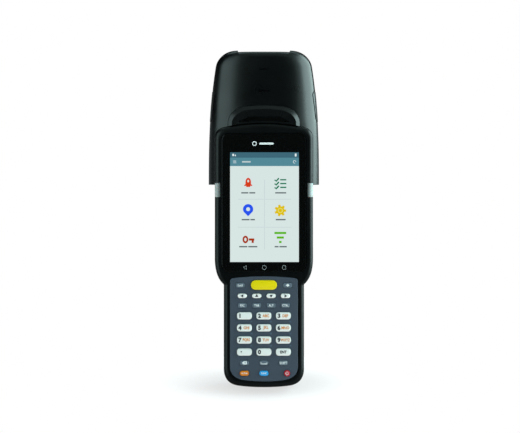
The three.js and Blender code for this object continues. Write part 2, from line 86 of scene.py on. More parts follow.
GLASS = {"width": 64.8, "bottom": 88.5, "top": 194.4, "corner": 5.5, "front": 0.5, "back": 2}
FASCIA = {"width": 52, "bottom": 4.6, "top": 85, "front": -0.2, "back": 2}
LIGHT_PIPE = {"inner": 33.4, "bottom": 145.6, "top": 156.4, "back": 9}
SCREWS = [(-22, 16), (22, 16), (-29, 138), (29, 138)]
# radii, then how deep the head lies, how thick it is and how long the shank is
SCREW = {"head": 2.6, "shank": 1.25, "socket": 1.1, "boss": 4.4, "sunk": 0.4, "thick": 2, "length": 12}
BEYOND = 60  # how far a cutting tool reaches past the part

HEAD_BOTTOM = 155.5
HEAD_TOP = 259.1
HEAD_HALF_WIDTH = 42.75
HEAD_TAPER = 0.1766
HEAD_TAPER_POWER = 2.63
HEAD_CORNER = 12.5
HEAD_FRONT = 6
HEAD_FRONT_FALL = 7
HEAD_BACK = 50
HEAD_BACK_RISE = 4
HEAD_EDGE = 4
HEAD_SPLIT = 23
HEAD_WALL = 2.6
RECESS_DEPTH = 1.1
SEAT_GAP = 0.4

GRIP_LENGTH = 112
FOOT_LENGTH = 16

# ---- materials


class Graph:
    """A material's nodes, made and linked in short calls."""

    def __init__(self, name):
        self.material = bpy.data.materials.new(name)
        self.material.use_nodes = True
        self.tree = self.material.node_tree
        self.shader = self.tree.nodes["Principled BSDF"]
        self.coordinates = self.node("TexCoord", "Object")

    def node(self, kind, output, inputs=None, **settings):
        """A new node's output. Its inputs take plain values or the outputs of other nodes."""
        made = self.tree.nodes.new("ShaderNode" + kind)
        for name, value in settings.items():
            setattr(made, name, value)
        for name, value in (inputs or {}).items():
            if isinstance(value, bpy.types.NodeSocket):
                self.tree.links.new(value, made.inputs[name])
            else:
                made.inputs[name].default_value = value
        return made.outputs[output]

    def set(self, **values):
        for name, value in values.items():
            title = name.replace("_", " ").title().replace("Ior", "IOR")
            self.shader.inputs[title].default_value = value

    def link(self, value, name):
        self.tree.links.new(value, self.shader.inputs[name])

    def noise(self, size, detail, stretch=(1, 1, 1)):
        """Noise whose features are about size metres wide, stretched along the row's axes."""
        inputs = {"Vector": self.coordinates, "Scale": [1 / s for s in stretch]}
        place = self.node("Mapping", "Vector", inputs)
        return self.node("TexNoise", "Fac", {"Vector": place, "Scale": 1 / size, "Detail": detail})

    def spread(self, value, low, high):
        """Takes the middle of a noise's range to low..high."""
        ends = {"From Min": 0.3, "From Max": 0.7, "To Min": low, "To Max": high}
        return self.node("MapRange", "Result", {"Value": value, **ends})

    def ramp(self, value, start, end, low, high):
        """Takes start..end smoothly to low..high."""
        ends = {"From Min": start, "From Max": end, "To Min": low, "To Max": high}
        return self.node("MapRange", "Result", {"Value": value, **ends}, interpolation_type="SMOOTHSTEP")

    def mix(self, value, first, second):
        """A colour between two colours."""
        colors = {"A": (*first, 1), "B": (*second, 1)}
        return self.node("Mix", "Result", {"Factor": value, **colors}, data_type="RGBA")

    def math(self, operation, *values):
        return self.node("Math", "Value", dict(enumerate(values)), operation=operation)

    def length(self, vector):
        return self.node("VectorMath", "Value", {0: vector}, operation="LENGTH")

    def bump(self, height, strength, distance):
        inputs = {"Height": height, "Strength": strength, "Distance": distance}
        self.link(self.node("Bump", "Normal", inputs), "Normal")

    def vary(self, value, color, tints, roughness):
        """Lets the colour and the roughness follow a value, each between two ends."""
        self.link(self.mix(value, *(shifted(color, tint) for tint in tints)), "Base Color")
        self.link(self.spread(value, *roughness), "Roughness")


def linear(red, green, blue):
    """A colour given in display values from 0 to 255, in linear light."""
    def one(value):
        share = value / 255
        return share / 12.92 if share <= 0.04045 else ((share + 0.055) / 1.055) ** 2.4
    return one(red), one(green), one(blue)


def shifted(color, share):
    return tuple(min(1.0, c * (1 + share)) for c in color)


def moulded(name, color, roughness, grain=0.00035, relief=0.00002, tint=0.08, specular=0.5):
    """Moulded plastic: a fine eroded texture, with slow changes of colour and gloss."""
    graph = Graph(name)
    graph.vary(graph.noise(0.03, 3), color, (-tint, tint), (roughness - 0.04, roughness + 0.04))
    graph.set(specular_ior_level=specular)
    graph.bump(graph.noise(grain, 2), 0.5, relief)
    return graph.material


def rubber(name, color, roughness):
    """Soft moulded rubber, with a coarser grain and a little sheen."""
    graph = Graph(name)
    graph.vary(graph.noise(0.02, 4), color, (-0.15, 0.2), (roughness - 0.06, roughness + 0.06))
    graph.set(sheen_weight=0.15, sheen_roughness=0.5)
    graph.bump(graph.noise(0.0006, 3), 0.6, 0.00006)
    return graph.material


def polished(name, color, roughness):
    """Hard glossy glass or lacquer with faint smears."""
    graph = Graph(name)
    graph.vary(graph.noise(0.025, 5, (1, 1, 2.5)), color, (0, 0.3), (roughness, roughness + 0.05))
    graph.set(coat_weight=1.0, coat_roughness=0.03)
    return graph.material


def lit(name, color):
    """A lit part of the display under its cover glass."""
    graph = Graph(name)
    glow = graph.noise(0.06, 1)
    graph.link(graph.mix(glow, shifted(color, -0.02), shifted(color, 0.02)), "Emission Color")
    graph.set(base_color=(0, 0, 0, 1), emission_strength=1.0, roughness=0.3, specular_ior_level=0.0)
    return graph.material


def ink(name, color):
    """Printed ink, a little uneven."""
    graph = Graph(name)
    graph.vary(graph.noise(0.0008, 2), color, (-0.1, 0.1), (0.45, 0.6))
    return graph.material


def brushed(name, color, roughness=0.35):
    """Metal with fine marks along x."""
    graph = Graph(name)
    marks = graph.noise(0.0004, 3, (12, 1, 1))
    graph.vary(marks, color, (-0.12, 0.12), (roughness - 0.08, roughness + 0.08))
    graph.set(metallic=1.0)
    graph.bump(marks, 0.3, 0.00001)
    return graph.material


def board(name):
    """A circuit board: solder mask over a grid of tracks, with bare pads."""
    graph = Graph(name)
    inputs = {"Vector": graph.coordinates, "Scale": 450}
    track = graph.spread(graph.node("TexVoronoi", "Distance", inputs, distance="MANHATTAN"), 0, 1)
    graph.link(graph.mix(track, (0.012, 0.11, 0.045), (0.006, 0.06, 0.025)), "Base Color")
    graph.set(roughness=0.4, coat_weight=0.4)
    graph.bump(track, 0.3, 0.00003)
    return graph.material


def frosted(name, painted_shade_color, painted_light_color, inner, outer):
    """Milky clear plastic, with painted light and shade: darker towards the middle of the terminal and
    lighter on its outer, rounded edge, where the lamp falls on it.

    Its colour goes from the painted shade colour to the painted light colour between two distances off the
    middle of the terminal.
    """
    graph = Graph(name)
    across = graph.math("ABSOLUTE", graph.node("SeparateXYZ", "X", {"Vector": graph.coordinates}))
    # painted shade towards the middle of the terminal, painted light towards the outer edge
    graph.link(graph.mix(graph.ramp(across, inner, outer, 0, 1), painted_shade_color, painted_light_color), "Base Color")
    graph.set(roughness=0.5, subsurface_weight=0.1, subsurface_scale=0.001, specular_ior_level=0.3)
    graph.bump(graph.noise(0.0004, 2), 0.3, 0.00001)
    return graph.material


SHELL = moulded("shell_black", (0.0010, 0.0016, 0.0017), 0.30)
BEZEL = moulded("bezel_black", (0.0010, 0.0015, 0.0015), 0.36, grain=0.0003, specular=0.3)
BUMPER = moulded("bumper_rubber", (0.0010, 0.0016, 0.0016), 0.32, grain=0.0006)
GRIP_RUBBER = rubber("grip_rubber", (0.010, 0.011, 0.012), 0.7)
COVER_GLASS = polished("cover_glass", (0.0016, 0.0020, 0.0020), 0.06)
FASCIA_PLASTIC = moulded("fascia_blue_grey", linear(63, 73, 87), 0.5, tint=0.05)
KEY_GREY = moulded("key_blue_grey", linear(94, 108, 121), 0.45, tint=0.04)
KEY_WHITE = moulded("key_white", linear(238, 238, 235), 0.4, tint=0.02)
KEY_YELLOW = moulded("key_yellow", linear(236, 213, 2), 0.42, tint=0.03, specular=0.3)
KEY_ORANGE = moulded("key_orange", linear(226, 126, 12), 0.4, tint=0.03)
KEY_BLUE = moulded("key_blue", linear(44, 160, 226), 0.4, tint=0.03)
KEY_RED = moulded("key_red", linear(190, 16, 44), 0.4, tint=0.04)
INK_DARK = ink("ink_dark", linear(24, 26, 40))
INK_ORANGE = ink("ink_orange", linear(222, 132, 34))
INK_WHITE = ink("ink_white", linear(236, 240, 240))
INK_SILVER = ink("ink_silver", linear(176, 184, 184))
INK_STEEL = ink("ink_steel_blue", linear(96, 128, 156))
TRIGGER_GREY = moulded("trigger_grey", (0.018, 0.020, 0.022), 0.42)
LATCH_GREY = moulded("latch_grey", (0.035, 0.040, 0.044), 0.45)
INNER_GREY = moulded("inner_grey", (0.016, 0.018, 0.021), 0.5)
STEEL = brushed("steel", (0.30, 0.31, 0.32))
DARK_STEEL = brushed("dark_steel", (0.05, 0.05, 0.055), 0.4)
CAST_METAL = moulded("cast_magnesium", (0.32, 0.33, 0.34), 0.5, grain=0.0005, relief=0.00004)
GOLD = brushed("contact_gold", (0.75, 0.55, 0.22), 0.3)
BOARD = board("circuit_board")
# the light pipe's colour: painted shade on its inner half, painted light on its outer edge
PIPE = frosted("light_pipe", linear(84, 90, 89), linear(168, 174, 172), 0.0337, 0.0364)
RED_GLASS = polished("scan_window_red", (0.020, 0.002, 0.003), 0.05)

# ---- outlines


def bezier(steps, *controls):
    """Points along a Bezier curve, without its start."""
    last = len(controls) - 1
    points = []
    for i in range(1, steps + 1):
        t = i / steps
        weights = [math.comb(last, k) * t ** k * (1 - t) ** (last - k) for k in range(last + 1)]
        points.append(tuple(sum(w * point[axis] for w, point in zip(weights, controls)) for axis in (0, 1)))
    return points


def bend(side, steps, *controls):
    """Lengthens a side along a Bezier curve that starts at its last point."""
    side += bezier(steps, side[-1], *controls)


def arc(x, z, radius, start, end, steps):
    """Points along an arc about (x, z), with its angles in degrees."""
    angles = [math.radians(start + (end - start) * i / steps) for i in range(steps + 1)]
    return [(x + radius * math.cos(a), z + radius * math.sin(a)) for a in angles]


def circle(x, z, radius, steps=32):
    return arc(x, z, radius, 0, 360, steps)[:-1]


def oval(x, z, half_width, half_height):
    return [(x + half_width * px, z + half_height * pz) for px, pz in circle(0, 0, 1, 28)]


def rectangle(left, bottom, right, top):
    return [(left, bottom), (right, bottom), (right, top), (left, top)]


def strip(points, width):
    """The outline of a line of the given width through points."""
    left, right = [], []
    for i, (x, z) in enumerate(points):
        before = points[max(0, i - 1)]
        after = points[min(len(points) - 1, i + 1)]
        along = Vector((after[0] - before[0], after[1] - before[1])).normalized()
        left.append((x - along.y * width / 2, z + along.x * width / 2))
        right.append((x + along.y * width / 2, z - along.x * width / 2))
    return left + right[::-1]


def triangle(x, z, size, turn):
    """A small arrowhead that points along turn, in degrees."""
    angles = [math.radians(turn + corner) for corner in (0, 120, 240)]
    return [(x + size * math.cos(a), z + size * math.sin(a)) for a in angles]


def mirrored(right):
    """A closed outline from the points up its right side."""
    return right + [(-x, z) for x, z in reversed(right) if x > 1e-6]


def rounded_rectangle(width, height, radius, x, z, steps=6):
    right, left = x + width / 2 - radius, x - width / 2 + radius
    top, bottom = z + height / 2 - radius, z - height / 2 + radius
    return (arc(right, bottom, radius, -90, 0, steps) + arc(right, top, radius, 0, 90, steps)
            + arc(left, top, radius, 90, 180, steps) + arc(left, bottom, radius, 180, 270, steps))


def body_outline(inset):
    lower = KEYPAD_WIDTH / 2 - inset
    upper = BODY_WIDTH / 2 - inset
    top = BODY_LENGTH - inset
    side = [(0, inset)]
    bend(side, 6, (11, inset), (19, inset + 1.1))
    bend(side, 16, (lower - 0.55, inset + 2.4), (lower, inset + 13.5))
    side.append((lower, 78.2))
    bend(side, 5, (lower, 78.8), (lower + 0.6, 79.3))
    bend(side, 18, (upper, 85.2), (upper, 99))
    side += bezier(12, (upper, top - 12.3), (upper, top - 3.9), (upper - 8.8, top - 2.9))
    bend(side, 8, (upper / 2 - 4, top), (0, top))
    return mirrored(side)


def fascia_outline(inset):
    right = FASCIA["width"] / 2 - inset
    bottom = FASCIA["bottom"] + inset
    top = FASCIA["top"] - inset
    side = [(0, bottom)]
    bend(side, 6, (9, bottom), (15, bottom + 1))
    bend(side, 12, (right - 0.5, bottom + 2.4), (right, bottom + 11))
    side += bezier(6, (right, top - 4), (right, top - 1.6), (right - 3, top - 1.3))
    bend(side, 8, (right / 2, top), (0, top))
    return mirrored(side)


def glass_outline(inset):
    width = GLASS["width"] - 2 * inset
    height = GLASS["top"] - GLASS["bottom"] - 2 * inset
    middle = (GLASS["top"] + GLASS["bottom"]) / 2
    return rounded_rectangle(width, height, GLASS["corner"] - min(inset, 4), 0, middle, 8)


def widened(outline, amount):
    """The same outline, drawn further out by an amount."""
    return lambda inset: outline(inset - amount)


def bumper_outline(inset):
    right = 27.5 - inset
    top = 216 - inset
    bottom = BODY_LENGTH - 7 + inset
    side = [(0, bottom), (right, bottom), (right, BODY_LENGTH + 1)]
    bend(side, 14, (right - 1.5, top - 3.5), (right - 9, top - 1.2), (13, top - 0.8))
    bend(side, 6, (6, top), (0, top))
    return mirrored(side)


# ---- meshes


def add_rings(mesh, rings, slot=0):
    """Adds a closed solid through rings of points, each with as many points as the last."""
    made = [[mesh.verts.new(point) for point in ring] for ring in rings]
    count = len(made[0])
    faces = [mesh.faces.new((one[i], one[(i + 1) % count], two[(i + 1) % count], two[i]))
             for one, two in zip(made, made[1:]) for i in range(count)]
    faces.append(mesh.faces.new(made[0]))
    faces.append(mesh.faces.new(reversed(made[-1])))
    bmesh.ops.recalc_face_normals(mesh, faces=faces)
    for face in faces:
        face.material_index = slot


def at_depth(outline, y):
    return [(x, y, z) for x, z in outline]


def add_object(name, data):
    made = bpy.data.objects.new(name, data)
    bpy.context.scene.collection.objects.link(made)
    return made


def to_object(name, mesh):
    data = bpy.data.meshes.new(name)
    mesh.to_mesh(data)
    mesh.free()
    return add_object(name, data)


def from_rings(name, rings):
    mesh = bmesh.new()
    add_rings(mesh, rings)
    return to_object(name, mesh)


def plate(name, outline, front, back, front_round=0.0, back_round=0.0, steps=6):
    """A plate whose outline is drawn in x and z, with rounded front and back edges."""
    rings = []
    quarter = [math.pi / 2 * i / steps for i in range(steps + 1)]
    for level, radius, inwards in ((front, front_round, 1), (back, back_round, -1)):
        for angle in quarter[::inwards] if radius else [math.pi / 2]:
            depth = level + inwards * radius * (1 - math.cos(angle))
            rings.append(at_depth(outline(radius * (1 - math.sin(angle))), depth))
    return from_rings(name, rings)


def box(name, low, high):
    """A plain box, used for cutting."""
    (x0, y0, z0), (x1, y1, z1) = low, high
    return from_rings(name, [at_depth(rectangle(x0, z0, x1, z1), y) for y in (y0, y1)])


def soft_box(name, low, high, radius, edge, steps):
    """A block between two corners, with rounded corners seen from the front and rounded edges."""
    (x0, y0, z0), (x1, y1, z1) = low, high
    middle = ((x0 + x1) / 2, (z0 + z1) / 2)

    def outline(inset):
        return rounded_rectangle(x1 - x0 - 2 * inset, z1 - z0 - 2 * inset, max(radius - inset, 0.05), *middle)
    return plate(name, outline, y0, y1, edge, edge, steps)


def bar(name, x, z, radius, front, back, sides=32):
    """A round bar along y."""
    return from_rings(name, [at_depth(circle(x, z, radius, sides), y) for y in (front, back)])


def combine(made, tool, operation):
    """Cuts or joins made with tool, which is used up."""
    modifier = made.modifiers.new("combine", "BOOLEAN")
    modifier.operation = operation
    modifier.solver = "MANIFOLD"
    modifier.object = tool
    result = bpy.data.meshes.new_from_object(made.evaluated_get(bpy.context.evaluated_depsgraph_get()))
    result.materials.clear()
    made.modifiers.clear()
    old = made.data
    made.data = result
    bpy.data.meshes.remove(old)
    bpy.data.objects.remove(tool)
    return made


def cut(made, *tools):
    for tool in tools:
        combine(made, tool, "DIFFERENCE")
    return made


def join(made, *tools):
    for tool in tools:
        combine(made, tool, "UNION")
    return made


def keep(made, tool):
    return combine(made, tool, "INTERSECT")


def copy_of(made, name):
    return add_object(name, made.data.copy())


def piece(made, body, slot, materials, replaces=(), place=DEVICE, sharp=32):
    """Puts a finished shape in its place, with smooth shading, its materials and its body."""
    made.data.transform(place)
    for material in materials:
        made.data.materials.append(material)
    made.data.polygons.foreach_set("use_smooth", [True] * len(made.data.polygons))
    made.data.set_sharp_from_angle(angle=math.radians(sharp))
    weighted = made.modifiers.new("normals", "WEIGHTED_NORMAL")
    weighted.keep_sharp = True
    weighted.weight = 80
    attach(made, body)
    if replaces:
        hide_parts(*replaces)


# ---- terminal body


def light_pipe_room(sign, gap):
    near = sign * (LIGHT_PIPE["inner"] + gap)
    far = sign * (BODY_WIDTH / 2 + 1)
    return box("pipe_room", (min(near, far), -1, LIGHT_PIPE["bottom"] + gap),
               (max(near, far), LIGHT_PIPE["back"] - gap, LIGHT_PIPE["top"] - gap))


def body_front():
    return plate("body_front", body_outline, 0, PARTING, BODY_FRONT_EDGE, 0, 8)


def front_housing():
    half_width = WINDOW["half_width"]
    made = body_front()
    cut(made,
        plate("pocket", widened(body_outline, -WALL), FACE_DEPTH, PARTING + 1),
        plate("glass_seat", widened(glass_outline, GAP), -1, GLASS["back"] + GAP),
        box("window", (-half_width, -1, WINDOW["bottom"]), (half_width, 6, WINDOW["top"])),
        plate("fascia_seat", widened(fascia_outline, 0.35), -1, FASCIA["back"] + GAP),
        plate("key_opening", widened(fascia_outline, -1.8), -1, 6),
        light_pipe_room(-1, 0),
        light_pipe_room(1, 0))
    piece(made, "terminal", "shell_black", [BEZEL], ["front_housing"])


def light_pipe(side, sign):
    made = keep(body_front(), light_pipe_room(sign, 0.12))
    piece(made, "terminal", "light_pipe", [PIPE], [f"light_pipe_{side}"])


def rear_housing():
    made = plate("rear_housing_shell", body_outline, PARTING + GAP, BODY_DEPTH, 0.4, BODY_BACK_EDGE, 10)
    cut(made, plate("pocket", widened(body_outline, -WALL), PARTING - 1, BODY_DEPTH - WALL))
    for x, z in SCREWS:
        join(made, bar("boss", x, z, SCREW["boss"], 24, BODY_DEPTH - WALL / 2))
        cut(made,
            bar("counterbore", x, z, SCREW["head"] + GAP, BODY_DEPTH - 2.8, BEYOND),
            bar("shank_hole", x, z, SCREW["shank"] + GAP, 10, BEYOND))
    for slot in range(-2, 3):
        z = 27 + 3 * slot
        cut(made, soft_box("speaker_slot", (-7, 25, z - 0.7), (7, BEYOND, z + 0.7), 0.68, 0.02, 1))
    cut(made,
        soft_box("label_recess", (-19, BODY_DEPTH - 0.5, 40), (19, BEYOND, 62), 2.5, 0.1, 1),
        box("dock_gap", (-12.3, 14.7, -5), (12.3, 21.3, 12)),
        below_floor(DEVICE))
    piece(made, "terminal", "shell_black", [SHELL], ["rear_housing"])


def below_floor(place):
    """Everything under the floor, in the frame that place takes to the row frame."""
    reach = 0.2
    made = box("below_floor", (-reach, -reach, -reach), (reach, reach, 0))
    made.data.transform(place.inverted())
    return made


def touch_glass():
    made = plate("touch_glass_pane", glass_outline, GLASS["front"], GLASS["back"], 0.45, 0.1, 5)
    piece(made, "terminal", "cover_glass", [COVER_GLASS], ["touch_glass"])


def rear_screws():
    back = BODY_DEPTH - SCREW["sunk"]
    front = back - SCREW["thick"]
    for number, (x, z) in enumerate(SCREWS, 1):
        made = plate(f"screw_{number}", lambda inset: circle(x, z, SCREW["head"] - inset), front, back,
                     0.1, 0.35, 3)
        join(made, bar("shank", x, z, SCREW["shank"], front - SCREW["length"], front + 0.5))
        cut(made, bar("socket", x, z, SCREW["socket"], back - 1.2, BEYOND, 6))
        piece(made, "terminal", "steel", [STEEL], [f"rear_screw_{number}"])


# ---- keypad

COLUMN = 14.9
ARROW = 11
KEY_BACK = 3.5

# width, height, corner radius, front, crown, belly
DIGIT = (11.4, 5.3, 2.0, -1.6, 0.22, 0.35)
OVAL = (7.1, 3.4, 1.65, -1.5, 0.2, 0.0)
FLAT = (6.8, 3.8, 1.4, -0.6, 0.1, 0.0)
SCAN = (19.9, 7.2, 3.5, -1.8, 0.35, 0.1)
COLOUR = (7.0, 3.9, 1.85, -1.3, 0.15, 0.0)
POWER = (4.6, 4.6, 2.25, -1.2, 0.1, 0.0)
KEY_EDGE = 0.5


def key_outline(x, z, size, inset=0.0):
    """A key's outline: a rounded rectangle whose lower edge bellies out a little."""
    width, height, radius, _, _, belly = size
    points = rounded_rectangle(width - 2 * inset, height - 2 * inset, max(radius - inset, 0.2), x, z)
    return [(px, pz - (belly * max(0, 1 - (2 * (px - x) / width) ** 2) if pz < z else 0))
            for px, pz in points]


def key_surface(x, z, size):
    """The depth of a key's crowned top, as a function of a place on it."""
    width, height, _, front, crown, _ = size
    return lambda px, pz: front + crown * ((2 * (px - x) / width) ** 2 + (2 * (pz - z) / height) ** 2)


def add_key(mesh, x, z, size):
    surface = key_surface(x, z, size)
    steps = 5
    rings = [at_depth(key_outline(x, z, size), KEY_BACK)]
    for i in range(steps + 1):
        angle = math.pi / 2 * (1 - i / steps)
        edge = key_outline(x, z, size, KEY_EDGE * (1 - math.sin(angle)))
        rings.append([(px, surface(px, pz) + KEY_EDGE * (1 - math.cos(angle)), pz) for px, pz in edge])
    inner = key_outline(x, z, size, KEY_EDGE)
    for share in (0.85, 0.65, 0.45, 0.25, 0.08):
        ring = [(x + (px - x) * share, z + (pz - z) * share) for px, pz in inner]
        rings.append([(px, surface(px, pz), pz) for px, pz in ring])
    add_rings(mesh, rings)


PRINT_PROUD = 0.05
PRINT_SUNK = 0.03
PRINT_STEP = 0.6


def lay_on(mesh, flat, surface, slot):
    """Lays thin shapes drawn in x and z on a surface, and adds them to mesh.

    They are cut into small steps first, so that they follow the surface.
    """
    for axis in (0, 2):
        places = [v.co[axis] for v in flat.verts]
        low = min(places)
        normal = Vector((axis == 0, 0, axis == 2))
        for i in range(1, math.ceil((max(places) - low) / PRINT_STEP)):
            everything = flat.verts[:] + flat.edges[:] + flat.faces[:]
            cut_place = normal * (low + i * PRINT_STEP)
            bmesh.ops.bisect_plane(flat, geom=everything, plane_co=cut_place, plane_no=normal)
    for vertex in flat.verts:
        vertex.co.y += surface(vertex.co.x, vertex.co.z)
    for face in flat.faces:
        face.material_index = slot
    data = bpy.data.meshes.new("print")
    flat.to_mesh(data)
    flat.free()
    mesh.from_mesh(data)
    bpy.data.meshes.remove(data)


def add_text(mesh, text, size, x, z, surface, slot, bold=0.0, narrow=1.0):
    """Adds lettering, centred on a place of a surface."""
    curve = bpy.data.curves.new("lettering", "FONT")
    curve.body = text
    curve.size = size
    curve.align_x = "CENTER"
    curve.align_y = "CENTER"
    curve.offset = bold
    curve.extrude = (PRINT_PROUD + PRINT_SUNK) / 2
    curve.resolution_u = 3
    holder = bpy.data.objects.new("lettering", curve)
    letters = bpy.data.meshes.new_from_object(holder)
    flat = bmesh.new()
    flat.from_mesh(letters)
    bmesh.ops.remove_doubles(flat, verts=flat.verts[:], dist=0.001)
    wide = [v.co.x for v in flat.verts]
    high = [v.co.y for v in flat.verts]
    middle = Vector((min(wide) + max(wide), min(high) + max(high))) / 2
    level = (PRINT_SUNK - PRINT_PROUD) / 2
    for vertex in flat.verts:
        across, up, out = vertex.co
        vertex.co = (x + (across - middle.x) * narrow, level - out, z + up - middle.y)
    lay_on(mesh, flat, surface, slot)
    bpy.data.objects.remove(holder)
    bpy.data.curves.remove(curve)
    bpy.data.meshes.remove(letters)


def add_sign(mesh, outline, surface, slot, proud=PRINT_PROUD):
    """Adds a small printed shape that stands a hair proud of a surface."""
    flat = bmesh.new()
    add_rings(flat, [at_depth(outline, -proud), at_depth(outline, PRINT_SUNK)])
    lay_on(mesh, flat, surface, slot)


# the materials of a key: its own, and its inks
OWN, DARK_INK, ORANGE_INK, WHITE_INK = range(4)
DIGIT_PLACE = -3.4
LETTERS_PLACE = 1.5


def digit_legend(digit, letters):
    def draw(mesh, x, z, surface):
        add_text(mesh, digit, 4.3, x + DIGIT_PLACE, z, surface, DARK_INK, 0.2)
        if letters:
            narrow = 0.78 if len(letters) > 3 else 0.86
            add_text(mesh, letters, 3.0, x + LETTERS_PLACE, z, surface, ORANGE_INK, 0.09, narrow)
    return draw


def word_legend(text, size, slot=WHITE_INK, bold=0.05):
    def draw(mesh, x, z, surface):
        add_text(mesh, text, size, x, z, surface, slot, bold, 0.9)
    return draw


def arrow_legend(turn):
    def draw(mesh, x, z, surface):
        add_sign(mesh, triangle(x, z, 1.42, turn), surface, DARK_INK)
    return draw


def point_legend(mesh, x, z, surface):
    add_sign(mesh, circle(x - 2.4, z + 0.25, 0.55, 12), surface, DARK_INK)


def white_signs(*shapes):
    """A legend of outlines drawn about the key's middle."""
    def draw(mesh, x, z, surface):
        for shape in shapes:
            add_sign(mesh, [(x + px, z + pz) for px, pz in shape], surface, WHITE_INK)
    return draw


function_legend = white_signs(
    strip([(-1.5, -0.95), (-1.5, 0.95)], 0.45),
    strip([(1.5, -0.95), (1.5, 0.95)], 0.45),
    strip([(-0.75, -0.9), (0, 0.5), (0.75, -0.9)], 0.4))
mode_legend = white_signs([(-1.4, 0), (0, -1.15), (1.4, 0), (0, 1.15)])
space_legend = white_signs(strip([(-2.3, 0.5), (-2.3, -0.7), (2.3, -0.7), (2.3, 0.5)], 0.5))
power_legend = white_signs(strip(arc(0, -0.1, 1.05, 130, 410, 20), 0.34), strip([(0, 0.1), (0, 1.25)], 0.36))


def backspace_legend(mesh, x, z, surface):
    draw = white_signs([(-1.9, 0), (-0.7, -1.15), (1.8, -1.15), (1.8, 1.15), (-0.7, 1.15)])
    draw(mesh, x, z, surface)
    for turn in (-1, 1):
        cross = strip([(x + 0.1, z - 0.5 * turn), (x + 1.1, z + 0.5 * turn)], 0.3)
        add_sign(mesh, cross, surface, OWN, 0.08)


def key_row(z, size, material, slot, *keys):
    return [(name, x, z, size, material, slot, legend) for name, x, legend in keys]


def three_columns(*keys):
    return [(name, (i - 1) * COLUMN, legend) for i, (name, legend) in enumerate(keys)]


def four_columns(*keys):
    return [(name, (i - 1.5) * ARROW, legend) for i, (name, legend) in enumerate(keys)]


def digit_row(z, *keys):
    legends = [(digit, digit_legend(digit, letters)) for digit, letters in keys]
    return key_row(z, DIGIT, KEY_WHITE, "key_white", *three_columns(*legends))


ARROWS = [("left", 180), ("up", 90), ("down", -90), ("right", 0)]
MODIFIERS = [("escape", "ESC"), ("tab", "TAB"), ("alternate", "ALT"), ("control", "CTRL")]

KEYS = [
    *key_row(78.2, FLAT, KEY_GREY, "key_grey",
             ("function", -18.2, function_legend), ("mode", 18.2, mode_legend)),
    *key_row(78.45, SCAN, KEY_YELLOW, "key_yellow", ("scan", 0, None)),
    *key_row(70.1, OVAL, KEY_WHITE, "key_white",
             *four_columns(*((name, arrow_legend(turn)) for name, turn in ARROWS))),
    *key_row(62.8, FLAT, KEY_GREY, "key_grey",
             *four_columns(*((name, word_legend(text, 2.3)) for name, text in MODIFIERS))),
    *digit_row(54.9, ("1", ""), ("2", "ABC"), ("3", "DEF")),
    *digit_row(45.7, ("4", "GHI"), ("5", "JKL"), ("6", "MNO")),
    *digit_row(36.4, ("7", "PQRS"), ("8", "TUV"), ("9", "WXYZ")),
    *key_row(27.2, DIGIT, KEY_WHITE, "key_white", *three_columns(
        ("point", point_legend), ("0", digit_legend("0", "")),
        ("enter", word_legend("ENT", 2.9, DARK_INK, 0.12)))),
    *key_row(18.8, FLAT, KEY_GREY, "key_grey", *three_columns(
        ("backspace", backspace_legend), ("space", space_legend), ("shift", word_legend("SHIFT", 2.5)))),
    *key_row(10.9, COLOUR, KEY_ORANGE, "key_orange",
             ("alpha", -COLUMN, word_legend("ALPHA", 1.7, WHITE_INK, 0.03))),
    *key_row(10.9, COLOUR, KEY_BLUE, "key_blue", ("blue", 0, word_legend("FUNC", 1.8, WHITE_INK, 0.03))),
    *key_row(10.9, POWER, KEY_RED, "key_red", ("power", 17.7, power_legend)),
]


def keys():
    for name, x, z, size, material, slot, legend in KEYS:
        mesh = bmesh.new()
        add_key(mesh, x, z, size)
        if legend:
            legend(mesh, x, z, key_surface(x, z, size))
        materials = [material, INK_DARK, INK_ORANGE, INK_WHITE]
        piece(to_object(f"{name}_keycap", mesh), f"{name}_key", slot, materials, [f"key_{name}"], sharp=50)


def keypad_fascia():
    made = plate("keypad_panel", fascia_outline, FASCIA["front"], FASCIA["back"], 0.35, 0, 4)
    holes = bmesh.new()
    for _, x, z, size, _, _, _ in KEYS:
        add_rings(holes, [at_depth(key_outline(x, z, size, -0.22), y) for y in (-1, 4)])
    cut(made, to_object("key_holes", holes))
    piece(made, "terminal", "fascia", [FASCIA_PLASTIC], ["keypad_fascia"])


def panel_marks():
    """Small printed second functions, on the panel below the right corners of the keys."""
    mesh = bmesh.new()

    def surface(px, pz):
        return FASCIA["front"]
    digits = [(x, z) for name, x, z, size, *_ in KEYS if size is DIGIT and z > 30]
    for number, (x, z) in enumerate(digits, 1):
        add_text(mesh, f"F{number}", 1.5, x + 5.4, z - 4.5, surface, 0)
    for text, x in (("+", -ARROW / 2), ("-", ARROW / 2)):
        add_text(mesh, text, 1.9, x + 4.3, 67.3, surface, 0)
    piece(to_object("panel_marks", mesh), "terminal", "fascia", [INK_STEEL])


# ---- display

SCREEN = {"left": -26.3, "right": 26.3, "bottom": 96, "top": 179.9, "status": 175.8, "bar": 169.4}
SCREEN_SHIFT = 0.45  # of the picture, to the right of the body's middle
SCREEN_COLORS = [
    ("screen_white", (215, 229, 227)), ("screen_status", (62, 104, 120)), ("screen_bar", (84, 137, 152)),
    ("screen_red", (214, 62, 28)), ("screen_green", (2, 118, 84)), ("screen_blue", (40, 84, 236)),
    ("screen_yellow", (222, 192, 16)), ("screen_rust", (166, 52, 20)), ("screen_lime", (92, 182, 10)),
    ("screen_text", (96, 108, 110)), ("screen_line", (192, 207, 207)), ("screen_pale", (226, 238, 240)),
    ("screen_light_yellow", (228, 218, 110)),
]
(WHITE, STATUS, BAR, RED, GREEN, BLUE, YELLOW, RUST, LIME, TEXT, LINE, PALE,
 LIGHT_YELLOW) = range(len(SCREEN_COLORS))


